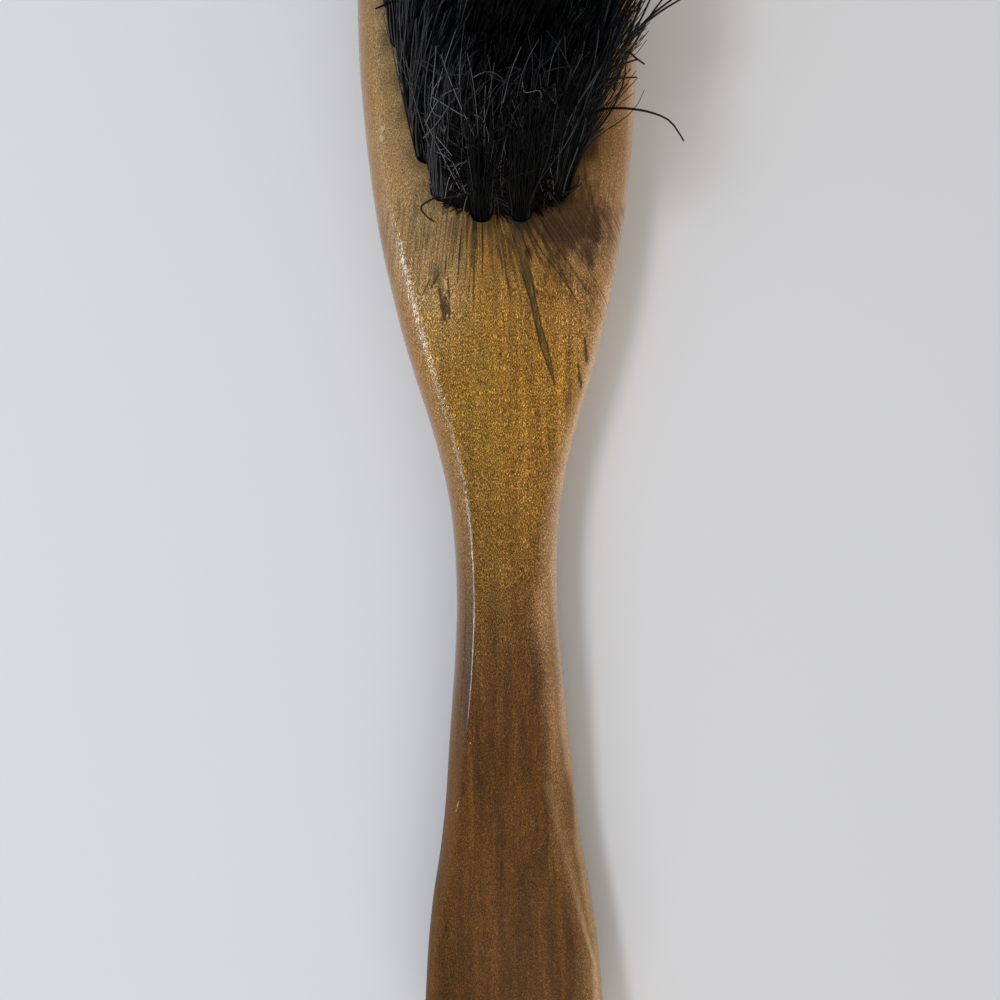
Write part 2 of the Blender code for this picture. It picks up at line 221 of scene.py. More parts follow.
# Hair
HAIRS_PER_TUFT = 210
LOCKS_PER_TUFT = 6
HAIR_RADIUS = 0.000120
HAIR_SIDES = 3
HAIR_STEPS = 10
HAIR_LENGTH = 0.0245
HAIR_LENGTH_SCATTER = 0.0030
HAIR_FLOOR = 0.0058
BUNDLE_RADIUS = 0.00192
LEAN_ACROSS = 0.0036
LEAN_RIGHT_SHARE = 0.03
LEAN_LEFT_SHARE = 0.17
LEAN_ALONG = 0.0092
LEAN_ALONG_SHARE = 0.03
FRONT_LEAN = 0.0030
LEAN_POWERS = (1.9, 1.15)
OWN_POWER = 1.6
TUFT_SCATTER, LOCK_SCATTER, HAIR_SCATTER = 0.0006, 0.0010, 0.0009
WAVE_SCATTER = 0.00042
WAVES_PER_HAIR = (0.7, 1.8)
ROOT_SPLAY, ROOT_SPLAY_PACE, TIP_SPLAY = 0.12, 6, 0.50
STRAY_SHARE = 0.08
STRAY_SCATTER_SHARE = 2.2
SHORT_HAIR_SHARES = (0.55, 0.95)
LEAST_RISE_SHARE = 0.2
RADIUS_SHARES = (0.8, 1.15)
TIP_THINNING_SHARE = 0.5
FIRST_SEED = 100

# The first rows are wilder than the others
FRONT_Y = 0.060
FRONT_REACH = 0.015
FRONT_WILDNESS = 0.8

# Where the hairs bend inwards, so that they stay over the head
SIDE_KNEE, SIDE_LIMIT = 0.0210, 0.0260
END_KNEE, END_LIMIT = 0.1270, 0.1330

# Sockets of the Mix node: the share and the two colours, and the mixed colour
MIX_INPUTS = (0, 6, 7)
MIX_RESULT = 2


def srgb(red, green, blue):
    """A colour written from 0 to 255, as the linear colour that nodes take."""
    linear = []
    for value in (red, green, blue):
        v = value / 255
        linear.append(v / 12.92 if v <= 0.04045 else ((v + 0.055) / 1.055) ** 2.4)
    return (*linear, 1.0)


def smooth(share):
    """Eases a share from 0 to 1, level at both ends."""
    share = np.clip(share, 0.0, 1.0)
    return share * share * (3 - 2 * share)


class Material:
    """Short calls for the nodes of one material: each takes numbers or sockets and gives a socket."""

    def __init__(self, name):
        self.material = bpy.data.materials.new(name)
        self.material.use_nodes = True
        self.tree = self.material.node_tree

    def put(self, socket, value):
        """Links a socket to an input, or sets a constant on it."""
        if isinstance(value, bpy.types.NodeSocket):
            self.tree.links.new(value, socket)
        else:
            socket.default_value = value

    def node(self, kind, *values, **settings):
        """A new node with its first inputs filled."""
        node = self.tree.nodes.new("ShaderNode" + kind)
        for name, setting in settings.items():
            setattr(node, name, setting)
        for socket, value in zip(node.inputs, values):
            if value is not None:
                self.put(socket, value)
        return node

    def finish(self, **values):
        """Sets inputs of the shader by name, with _ for a space."""
        shader = self.tree.nodes["Principled BSDF"]
        for name, value in values.items():
            self.put(shader.inputs[name.replace("_", " ")], value)
        return self.material

    def math(self, operation, a, b=0.0, c=0.0):
        """A Math node."""
        return self.node("Math", a, b, c, operation=operation).outputs[0]

    def product(self, *values):
        """Several values multiplied."""
        result = values[0]
        for value in values[1:]:
            result = self.math("MULTIPLY", result, value)
        return result

    def place(self):
        """Place on the piece in millimetres."""
        split = self.node("SeparateXYZ", self.node("TexCoord").outputs["Object"])
        return [self.math("MULTIPLY", socket, 1 / MM) for socket in split.outputs]

    def noise(self, place, stretch, scale, detail=2.0, rough=0.5, distortion=0.0):
        """Noise from 0 to 1, drawn out along the grain."""
        x, y, z = place
        vector = self.node("CombineXYZ", x, self.math("MULTIPLY", y, stretch), z).outputs[0]
        texture = self.node("TexNoise", vector)
        settings = {"Scale": scale, "Detail": detail, "Roughness": rough, "Distortion": distortion}
        for name, value in settings.items():
            texture.inputs[name].default_value = value
        return texture.outputs["Fac"]

    def swing(self, value, reach):
        """Turns noise from 0 to 1 into a value to both sides of zero."""
        return self.math("MULTIPLY_ADD", value, reach, -reach / 2)

    def spread(self, value, low, high, to_low=0.0, to_high=1.0):
        """Eases a range of values onto another."""
        node = self.node("MapRange", value, low, high, to_low, to_high, interpolation_type="SMOOTHSTEP")
        return node.outputs[0]

    def mix(self, share, first, second):
        """Mixes two colours."""
        node = self.node("Mix", data_type="RGBA")
        for index, value in zip(MIX_INPUTS, (share, first, second)):
            self.put(node.inputs[index], value)
        return node.outputs[MIX_RESULT]

    def stored(self, name):
        """A value stored on the mesh."""
        return self.node("Attribute", attribute_name=name).outputs["Fac"]

    def ramp(self, value, *stops):
        """A colour ramp through (place, colour) stops."""
        node = self.node("ValToRGB", value)
        elements = node.color_ramp.elements
        while len(elements) < len(stops):
            elements.new(0.5)
        for element, (place, colour) in zip(elements, stops):
            element.position = place
            element.color = colour
        return node.outputs["Color"]

    def bump(self, height, distance):
        """A Bump node."""
        node = self.node("Bump")
        node.inputs["Distance"].default_value = distance
        self.put(node.inputs["Height"], height)
        return node.outputs["Normal"]


def new_piece(name, mesh, material):
    """An object of the finished brush, smooth shaded."""
    piece = bpy.data.objects.new(name, mesh)
    bpy.context.scene.collection.objects.link(piece)
    mesh.materials.append(material)
    mesh.shade_smooth()
    return piece


def through(points, at):
    """Reads a smooth curve through (place, value) points, level at its first and last point."""
    slopes = [0.0]
    for (x0, y0), (_, _), (x2, y2) in zip(points, points[1:], points[2:]):
        slopes.append((y2 - y0) / (x2 - x0))
    slopes.append(0.0)
    for i, ((x0, y0), (x1, y1)) in enumerate(zip(points, points[1:])):
        if at <= x1 or i == len(points) - 2:
            span = x1 - x0
            t = min(max((at - x0) / span, 0.0), 1.0)
            rise = slopes[i] * span * (t**3 - 2 * t**2 + t) + slopes[i + 1] * span * (t**3 - t**2)
            return y0 + (y1 - y0) * smooth(t) + rise
    return points[-1][1]


def rounded_end(share, power):
    """Half width left at a share of the way to a rounded end, as a share of the full one."""
    return max(1 - min(max(share, 0.0), 1.0) ** power, 0.0) ** (1 / power)


def half_width(y):
    """Half the width of the wood in plan."""
    if y >= HEAD_WIDEST_Y:
        return HEAD_WIDTH / 2 * rounded_end((y - HEAD_WIDEST_Y) / HEAD_END_LENGTH, HEAD_END_POWER)
    if y >= WAIST_Y:
        share = through(NECK_SHARES, (HEAD_WIDEST_Y - y) / NECK_LENGTH)
        return (WAIST_WIDTH + (HEAD_WIDTH - WAIST_WIDTH) * share) / 2
    if y >= HORN_WIDEST_Y:
        share = through(FLARE_SHARES, (WAIST_Y - y) / HORN_FLARE_LENGTH)
        return (WAIST_WIDTH + (HORN_WIDTH - WAIST_WIDTH) * share) / 2
    return HORN_WIDTH / 2 * rounded_end((HORN_WIDEST_Y - y) / HORN_TIP_LENGTH, HORN_TIP_POWER)


def landmark(y, tip, horn, waist, head):
    """Eases a size from the horn's tip to its widest point, the waist and the head."""
    if y >= WAIST_Y:
        return waist + (head - waist) * smooth((y - WAIST_Y) / (SHOULDER_Y - WAIST_Y))
    if y >= HORN_WIDEST_Y:
        return horn + (waist - horn) * smooth((y - HORN_WIDEST_Y) / HORN_FLARE_LENGTH)
    return tip + (horn - tip) * smooth((y - HORN_TIP_Y) / HORN_TIP_LENGTH)


def outline():
    """Points all round the edge of the wood in plan, as a closed loop."""
    right = []
    for i in range(OUTLINE_STEPS + 1):
        turn = math.pi * i / OUTLINE_STEPS
        y = (HEAD_TIP_Y + HORN_TIP_Y) / 2 - (HEAD_TIP_Y - HORN_TIP_Y) / 2 * math.cos(turn)
        right.append((half_width(y), y))
    left = [(-x, y) for x, y in reversed(right[1:-1])]
    return np.array(right + left)


def distances_inside(points, loop):
    """Distance in plan from each point to the edge of the wood."""
    step = np.roll(loop, -1, axis=0) - loop
    found = []
    for chunk in np.array_split(points, max(len(points) // POINTS_AT_ONCE, 1)):
        away = chunk[:, None, :] - loop[None]
        share = np.clip((away * step).sum(axis=2) / (step * step).sum(axis=1), 0, 1)
        found.append(np.sqrt(((away - step * share[..., None]) ** 2).sum(axis=2).min(axis=1)))
    return np.concatenate(found)


def round_over(distance, width):
    """Share of a rounding's height that is still missing at a distance inside the edge."""
    short = 1 - np.minimum(distance / width, 1.0)
    return 1 - np.sqrt(1 - short * short)


def places_across(half, edge, edge_steps, face_steps):
    """Places across one face, from edge to edge: close on the roundings, even on the flat."""
    edge = min(edge, WIDEST_EDGE_SHARE * half)
    rounded = half - edge * (1 - np.cos(np.linspace(0, math.pi / 2, edge_steps + 1)))
    flat = (half - edge) * (1 - 2 * np.arange(1, face_steps) / face_steps)
    return np.concatenate([-rounded, -flat, rounded[::-1]])


def section(y, loop):
    """One closed cross section of the body: the bristle side from left to right, then the back."""
    half = half_width(y)
    thickness = landmark(y, HORN_TIP_THICKNESS, HORN_THICKNESS, WAIST_THICKNESS, HEAD_THICKNESS)
    lift = landmark(y, HORN_TIP_LIFT, HORN_LIFT, 0, 0)
    curl = HORN_CURL * smooth((CURL_Y - y) / (CURL_Y - HORN_TIP_Y))
    face_edge = landmark(y, HORN_FACE_EDGE, HORN_FACE_EDGE, WAIST_FACE_EDGE, HEAD_FACE_EDGE)
    back_edge = landmark(y, HORN_BACK_EDGE, HORN_BACK_EDGE, WAIST_BACK_EDGE, HEAD_BACK_EDGE)
    face_round = thickness * landmark(
        y, HORN_FACE_ROUND_SHARE, HORN_FACE_ROUND_SHARE, WAIST_FACE_ROUND_SHARE, HEAD_FACE_ROUND_SHARE
    )
    sides = []
    for edge, edge_steps, steps, flat, rounding in (
        (face_edge, FACE_EDGE_STEPS, FACE_STEPS, thickness, -face_round),
        (back_edge, BACK_EDGE_STEPS, BACK_STEPS, 0.0, thickness - face_round),
    ):
        x = places_across(half, edge, edge_steps, steps)
        gap = distances_inside(np.column_stack([x, np.full(len(x), y)]), loop)
        gap[[0, -1]] = 0
        z = lift + curl * (2 * x / HORN_WIDTH) ** 2 + flat + rounding * round_over(gap, edge)
        sides.append(np.column_stack([x, np.full(len(x), y), z]))
    face, back = sides
    return np.concatenate([face, back[-2:0:-1]])


def section_places():
    """Places of the cross sections, crowded towards both ends."""
    turns = np.linspace(0, math.pi / 2, END_SECTIONS, endpoint=False)
    tip = HORN_WIDEST_Y - HORN_TIP_LENGTH * np.cos(turns[1:])
    head = HEAD_WIDEST_Y + HEAD_END_LENGTH * np.sin(turns)
    stretches = (
        (HORN_WIDEST_Y, NECK_FROM_Y, HANDLE_STEP),
        (NECK_FROM_Y, NECK_TO_Y, NECK_STEP),
        (NECK_TO_Y, HEAD_WIDEST_Y, HEAD_STEP),
    )
    middle = [
        np.linspace(low, high, round((high - low) / step), endpoint=False)
        for low, high, step in stretches
    ]
    return np.concatenate([tip, *middle, head])


def wood_mesh(loop):
    """The undrilled wood, joined from its cross sections."""
    shape = bmesh.new()
    rings = []
    for y in section_places():
        rings.append([shape.verts.new(point) for point in section(float(y), loop)])
    for lower, upper in zip(rings, rings[1:]):
        for i in range(len(lower)):
            j = (i + 1) % len(lower)
            shape.faces.new((lower[i], lower[j], upper[j], upper[i]))
    ends = (
        (rings[0], (0, HORN_TIP_Y, HORN_TIP_LIFT + HORN_TIP_THICKNESS * (1 - HORN_FACE_ROUND_SHARE))),
        (rings[-1], (0, HEAD_TIP_Y, HEAD_THICKNESS * (1 - HEAD_FACE_ROUND_SHARE))),
    )
    for ring, point in ends:
        tip = shape.verts.new(point)
        for i in range(len(ring)):
            shape.faces.new((ring[i], ring[(i + 1) % len(ring)], tip))
    bmesh.ops.recalc_face_normals(shape, faces=shape.faces)
    mesh = bpy.data.meshes.new("varnished_body")
    shape.to_mesh(mesh)
    shape.free()
    return mesh


def tuft_nodes():
    """Names of the solid tufts."""
    return sorted(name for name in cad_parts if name.startswith("tuft_"))


def root_of(node):
    """Place (x, y) of the hole that a solid tuft stands in."""
    points = np.array([vert.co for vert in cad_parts[node].data.vertices])
    low = points[points[:, 2] < points[:, 2].min() + HOLE_RADIUS / 10]
    return (low.min(axis=0) + low.max(axis=0))[:2] / 2


def drill(body, roots):
    """Cuts the blind holes and drops the cutter."""
    shape = bmesh.new()
    top = HEAD_THICKNESS + OVERRUN
    for x, y in roots:
        bmesh.ops.create_cone(
            shape, cap_ends=True, segments=HOLE_SIDES, radius1=HOLE_RADIUS, radius2=HOLE_RADIUS,
            depth=top - HOLE_FLOOR, matrix=Matrix.Translation((x, y, (top + HOLE_FLOOR) / 2)),
        )
    mesh = bpy.data.meshes.new("drill")
    shape.to_mesh(mesh)
    shape.free()
    cutter = bpy.data.objects.new("drill", mesh)
    bpy.context.scene.collection.objects.link(cutter)
    boolean = body.modifiers.new("drill", "BOOLEAN")
    boolean.operation = "DIFFERENCE"
    boolean.solver = "EXACT"
    boolean.object = cutter
    bpy.context.view_layer.update()
    drilled = bpy.data.meshes.new_from_object(body.evaluated_get(bpy.context.evaluated_depsgraph_get()))
    body.modifiers.clear()
    body.data = drilled
    bpy.data.objects.remove(cutter)


def beside_lines(points, *lines):
    """How far each point is from the nearest of some tapered lines, in half widths of that line.

    The first result is the distance beside the line, signed by its side; the second one counts
    the distance past its ends too.
    """
    side = np.full(len(points), FAR_FROM_MARK)
    away = np.full(len(points), FAR_FROM_MARK)
    for line in lines:
        for (x0, y0, w0), (x1, y1, w1) in zip(line, line[1:]):
            start = np.array((x0, y0))
            step = np.array((x1 - x0, y1 - y0))
            length = np.linalg.norm(step)
            t = ((points - start) @ step) / length**2
            half = w0 + (w1 - w0) * np.clip(t, 0, 1)
            across = ((points - start) @ np.array((-step[1], step[0]))) / length / half
            past = np.maximum(np.maximum(-t, t - 1), 0) * length / half
            total = np.minimum(np.abs(across) + past, FAR_FROM_MARK)
            nearer = total < away
            side[nearer] = across[nearer]
            away[nearer] = total[nearer]
    return side, away


def in_stains(points):
    """Strength of the stains at each point."""
    total = np.zeros(len(points))
    for x, y, across, along, strength in STAINS:
        away = ((points[:, 0] - x) / across) ** 2 + ((points[:, 1] - y) / along) ** 2
        total = np.maximum(total, strength * np.exp(-away))
    return total


def fan_place(points):
    """Which crack of the fan each point is on, in millimetres across the fan at its top."""
    x = points[:, 0] - FAN_X
    reach = np.where(x < 0, FAN_LEFT_Y, FAN_RIGHT_Y) - FAN_BASE_Y
    down = np.maximum(FAN_BASE_Y - points[:, 1], 0)
    inner = x * reach / (reach + down)
    outer = x - np.sign(x) * FAN_LIMIT * down / reach
    return np.where(np.abs(inner) < FAN_LIMIT, inner, outer)


def vertex_vectors(mesh, name):
    """One vector of every vertex, as rows."""
    values = np.empty(len(mesh.vertices) * 3)
    mesh.vertices.foreach_get(name, values)
    return values.reshape(-1, 3)


def mark_wood(mesh, roots, loop):
    """Wears the surface, and stores what its material needs to know of each place."""
    points = vertex_vectors(mesh, "co")
    normals = vertex_vectors(mesh, "normal")
    plan = points[:, :2] / MM
    from_tuft = np.min([np.linalg.norm(points[:, :2] - root, axis=1) for root in roots], axis=0) - HOLE_RADIUS
    gouge_side, gouge_away = beside_lines(plan, GOUGE)
    mark_side, mark_away = beside_lines(plan, *DARK_MARKS)
    _, pale_away = beside_lines(plan, *PALE_MARKS_AND_HIGHLIGHTS)
    _, highlight_away = beside_lines(plan, RIDGE_HIGHLIGHT)
    on_face = normals[:, 2] > FACE_NORMAL_Z
    off_face = np.where(on_face, 0.0, FAR_FROM_MARK)
    stored = {
        "inside": distances_inside(points[:, :2], loop) / MM,
        "from_tuft": from_tuft / MM,
        "gouge_side": gouge_side,
        "gouge_away": gouge_away + off_face,
        "mark_side": mark_side,
        "mark_away": mark_away + off_face,
        "pale_away": pale_away + off_face,
        "highlight_away": highlight_away + off_face,
        "stain": in_stains(plan) * on_face,
        "fan": fan_place(plan),
    }
    waves = np.array([noise.noise(Vector(point) / WAVE_LENGTH) for point in points])
    lifted = np.minimum(points[:, 2] / HEAD_THICKNESS * 2, 1)
    points += normals * (waves * WAVE_HEIGHT * lifted)[:, None]
    points[:, 2] -= GOUGE_DEPTH * smooth(1 - stored["gouge_away"])
    mesh.vertices.foreach_set("co", points.ravel())
    for name, values in stored.items():
        mesh.attributes.new(name, "FLOAT", "POINT").data.foreach_set("value", values.astype(np.float32))
    mesh.update()


# Colours of the wood: amber and brown from the dark to the pale streaks of the grain
AMBER = (srgb(85, 56, 14), srgb(137, 97, 32), srgb(171, 128, 57))
BROWN = (srgb(48, 29, 8), srgb(81, 51, 17), srgb(112, 75, 32))
TONE_STOPS = (0.25, 0.50, 0.78)
WAIST_OLIVE = srgb(112, 90, 30)
PAINTED_SHEEN_KHAKI = srgb(160, 132, 89)
HEAD_ROSE = srgb(166, 126, 94)
TUFT_OLIVE = srgb(92, 72, 32)
EDGE_RIGHT = srgb(182, 138, 92)
RIM_CREAM = srgb(206, 172, 130)
EDGE_LEFT = srgb(140, 98, 50)
STAIN_PURPLE = srgb(58, 36, 23)
STAIN_OLIVE = srgb(74, 60, 34)
GOUGE_OLIVE = srgb(74, 60, 30)
DARK_GRIME_AND_SHADE = srgb(26, 18, 10)
CRACK_BROWN = srgb(30, 18, 6)
PALE_SCRATCH_AND_HIGHLIGHT = srgb(190, 168, 132)

# How far each of these covers what is under it
WAIST_OLIVE_SHARE, SHEEN_SHARE, ROSE_SHARE, RIM_SHARE = 0.35, 0.8, 0.45, 0.7
STAIN_SHARE, CRACK_SHARE, CRAZING_SHARE, MARK_SHARE, GOUGE_RIM_SHARE = 0.88, 0.92, 0.6, 0.85, 0.75

# The share of the broad grain in the tone, how strongly noise mottles the stains, the contours
# of a noise that craze the varnish and their half width as a share of the gap between them, and
# where the gouge's dark rim is, in its half widths
BROAD_SHARE = 0.65
MOTTLING = 0.9
CRAZING_LEVELS, CRAZING_WIDTH = 11.0, 0.09
GOUGE_RIM_SIDE = 0.95

# Relief: the heights of the grain and of the ripples in the coat, in metres, how much speckle,
# fine grain and cracks count in them, and how much cracks dull the coat
GRAIN_HEIGHT, RIPPLE_HEIGHT = 0.00005, 0.00006
SPECKLE_RISE, GRAIN_RISE, CRACK_FALL = 0.4, 0.6, 0.7
GRAIN_IN_RIPPLES = 0.5
CRACK_DULLNESS = 0.6

# Noises on the wood: how fine they are along the grain as a share of across it, how fine they
# are across it to a millimetre, then detail, roughness and distortion
BROAD_GRAIN = (0.05, 0.42, 4.0, 0.6, 0.3)
FINE_GRAIN = (0.10, 2.4, 3.0, 0.6)
SPECKLE = (0.32, 10.0, 0.0)
DRIFT = (0.4, 0.16, 3.0)
PATCHES = (0.45, 0.42, 4.0, 0.65)
STREAKS = (0.14, 1.8, 3.0, 0.65)
RIPPLES = (0.4, 2.2, 1.0)
RAGGED = (0.4, 2.6, 2.0)
WOBBLE = (0.2, 0.8, 2.0)
CRACK_GAPS = (0.25, 1.1, 2.0)
CRAZING = (0.25, 0.8, 3.0, 0.6, 0.8)
CRAZED_PARTS = (0.4, 0.5, 1.0)

# How far noise moves the browner handle, the part of the head with painted sheen and a rose wash, the edge
# bands, the sides of the marks and the cracks
BROWN_DRIFT, HEAD_PART_DRIFT, EDGE_GAP_DRIFT, RAGGED_REACH, WOBBLE_REACH = 20.0, 16.0, 4.0, 2.6, 0.6

# Fades on the wood: where each starts and ends, and the values there, which are 0 and 1 where it
# gives none. Names that end in X and Y go by places on the face, in EDGE and WIDTH by the distance
# inside its edge and in TUFT by that from the nearest tuft, all in millimetres. The others go by
# a noise, a strength or the distance from a mark's middle in its half widths
BROWN_BY_Y = (28.0, -30.0)
WAIST_OLIVE_BY_X, WAIST_OLIVE_FROM_Y, WAIST_OLIVE_TO_Y = (2.0, -4.0), (-48.0, -10.0), (34.0, 14.0)
HEAD_PART_BY_Y = (18.0, 46.0)
SHEEN_FROM_X, SHEEN_TO_X = (-3.0, -11.0, 0.12, 1.0), (12.0, 4.0)
ROSE_BY_X = (7.0, 15.0)
RIGHT_BY_X, RIGHT_BY_Y = (1.0, 5.0), (-72.0, -25.0, 0.34, 0.84)
WIDEST_BY_Y, FULL_WIDTH = (-30.0, 0.0, 6.2, 3.3), 0.4
RIM_BY_EDGE = (1.8, 0.2)
LEFT_BY_X, LEFT_BY_EDGE, LEFT_BY_Y = (-1.0, -5.0), (3.6, 0.8), (-40.0, 10.0, 0.25, 0.65)
STAIN_BY_NOISE, STAIN_BY_STRENGTH, PURPLE_BY_X = (0.15, 0.80), (0.05, 0.30), (-4.0, 4.0)
OLIVE_BY_TUFT, OLIVE_BY_NOISE, OLIVE_BY_X = (5.5, 0.5), (0.30, 0.65, 0.3, 1.0), (-9.0, 3.0, 0.3, 0.5)
GRIME_AND_SHADE_BY_TUFT, GRIME_AND_SHADE_BY_NOISE, GRIME_AND_SHADE_BY_X = (2.6, -0.3), (0.25, 0.7, 0.5, 1.0), (-6.0, 5.0, 0.6, 0.9)
SPECKLE_BY_Y, HEAD_SPECKLE_BY_Y = (-52.0, -16.0, 3.1, 4.9), (20.0, 42.0, 1.0, 0.55)
SPECKLE_BY_EDGE = (0.5, 4.0, 0.5, 1.0)
RIPPLE_BY_Y, RIPPLE_BY_EDGE = (-25.0, 12.0, 0.12, 1.8), (3.6, 7.0, 1.0, 0.3)
COAT_BY_Y, COAT_BY_DAMAGE = (-62.0, -30.0, 0.22, 1.0), (0.1, 0.9, 1.0, 0.30)
CRACKS_RIGHT_BY_X, CRACKS_LEFT_BY_X = (6.0, 11.0, 1.0, 0.55), (-8.0, -12.0, 1.0, 0.45)
CRACKS_BY_NOISE = (0.34, 0.50, 0.75, 1.0)
CRAZING_BY_NOISE, CRAZING_BY_TUFT, CRAZING_BY_EDGE = (0.42, 0.62), (9.0, 3.0), (2.6, 5.0)
GOUGE_BLUR_BY_Y, GOUGE_BY_AWAY, GOUGE_BY_NOISE = (29.0, 37.0, 0.12, 0.9), (3.2, 2.0), (0.40, 0.62, 0.95, 0.62)
GOUGE_RIM_BY_SIDE, GOUGE_RIM_BY_BLUR = (0.40, 0.05), (0.7, 0.2)
MARK_BY_SIDE, MARK_BY_AWAY, PALE_BY_AWAY = (1.1, 0.2), (3.4, 1.8), (1.3, 0.3, 0.0, 0.85)
HIGHLIGHT_BY_AWAY, HIGHLIGHT_BY_Y, HIGHLIGHT_BY_NOISE = (1.8, 0.1), (-74.0, -98.0, 0.12, 0.85), (0.3, 0.6, 0.55, 1.0)
GOUGE_DULL_BY_AWAY, MARK_DULL_BY_AWAY = (1.2, 0.6), (1.5, 0.8)


def crack_layer(m, place, density, half_line, shortest, longest, shift):
    """One family of cracks that fan out below the tufts, each with a length of its own."""
    wobble = m.swing(m.noise(place, *WOBBLE), WOBBLE_REACH)
    across = m.math("MULTIPLY_ADD", m.math("ADD", m.stored("fan"), wobble), density, shift)
    cell = m.node("TexVoronoi", voronoi_dimensions="1D")
    m.put(cell.inputs["W"], across)
    cell.inputs["Scale"].default_value = 1.0
    own = m.node("SeparateColor", cell.outputs["Color"]).outputs
    start = m.math("MULTIPLY", own[1], -CRACK_STAGGER)
    down = m.math("ADD", m.math("SUBTRACT", CRACK_TOP_Y, place[1]), start)
    length = m.math("MULTIPLY_ADD", m.math("POWER", own[0], CRACK_LENGTH_POWER), longest - shortest, shortest)
    left = m.math("SUBTRACT", 1.0, m.math("DIVIDE", down, length))
    half = m.math("MULTIPLY", m.spread(left, *CRACK_TAPER), half_line * density)
    line = m.spread(cell.outputs["Distance"], half, m.math("MULTIPLY", half, CRACK_CORE_SHARE))
    strength = m.math("MULTIPLY_ADD", own[2], 1 - WEAKEST_CRACK, WEAKEST_CRACK)
    return m.product(line, m.spread(down, *CRACK_FADE_IN), m.spread(left, *CRACK_FADE_OUT), strength)


def wood_cracks(m, place):
    """All the fine dark lines in the varnish: the fan, and crazing beside the tufts."""
    x = place[0]
    lines = 0.0
    for layer in CRACK_LAYERS:
        lines = m.math("MAXIMUM", lines, crack_layer(m, place, *layer))
    lines = m.product(lines, m.spread(x, *CRACKS_RIGHT_BY_X), m.spread(x, *CRACKS_LEFT_BY_X))
    whole = m.spread(m.noise(place, *CRACK_GAPS), *CRACKS_BY_NOISE)
    levels = m.math("PINGPONG", m.math("MULTIPLY", m.noise(place, *CRAZING), CRAZING_LEVELS), 1.0)
    contour = m.math("ABSOLUTE", m.math("SUBTRACT", levels, 0.5))
    broken = m.spread(m.noise(place, *CRAZED_PARTS), *CRAZING_BY_NOISE)
    near = m.spread(m.stored("from_tuft"), *CRAZING_BY_TUFT)
    near = m.product(near, m.spread(m.stored("inside"), *CRAZING_BY_EDGE))
    crazing = m.product(m.spread(contour, CRAZING_WIDTH, 0.0), broken, near)
    return m.math("MAXIMUM", m.math("MULTIPLY", lines, whole), m.math("MULTIPLY", crazing, CRAZING_SHARE))


def draw_marks(m, place, colour, fine):
    """The gouge, the dark marks, the pale ones with two bits of painted highlight among them, and a painted
    highlight along the shoehorn's right edge, over the wood's own colour.
    """
    y = place[1]
    blur = m.spread(y, *GOUGE_BLUR_BY_Y)
    away = m.math("ABSOLUTE", m.stored("gouge_side"))
    reach = m.spread(m.stored("gouge_away"), *GOUGE_BY_AWAY)
    inside = m.spread(away, m.math("ADD", 1.0, blur), m.math("SUBTRACT", 1.0, blur))
    colour = m.mix(m.product(inside, reach, m.spread(fine, *GOUGE_BY_NOISE)), colour, GOUGE_OLIVE)
    rim = m.spread(m.math("ABSOLUTE", m.math("SUBTRACT", away, GOUGE_RIM_SIDE)), *GOUGE_RIM_BY_SIDE)
    rim = m.product(rim, reach, m.spread(blur, *GOUGE_RIM_BY_BLUR), GOUGE_RIM_SHARE)
    colour = m.mix(rim, colour, DARK_GRIME_AND_SHADE)

    ragged = m.swing(m.noise(place, *RAGGED), RAGGED_REACH)
    beside = m.math("ADD", m.math("ABSOLUTE", m.stored("mark_side")), ragged)
    mark = m.spread(m.stored("mark_away"), *MARK_BY_AWAY)
    mark = m.product(m.spread(beside, *MARK_BY_SIDE), mark, MARK_SHARE)
    colour = m.mix(mark, colour, STAIN_PURPLE)
    pale = m.spread(m.math("ADD", m.stored("pale_away"), ragged), *PALE_BY_AWAY)
    colour = m.mix(pale, colour, PALE_SCRATCH_AND_HIGHLIGHT)
    # Painted highlight along the shoehorn's raised right edge, in the scratches' pale colour
    highlight = m.spread(m.stored("highlight_away"), *HIGHLIGHT_BY_AWAY)
    highlight = m.product(highlight, m.spread(y, *HIGHLIGHT_BY_Y), m.spread(fine, *HIGHLIGHT_BY_NOISE))
    return m.mix(highlight, colour, PALE_SCRATCH_AND_HIGHLIGHT)


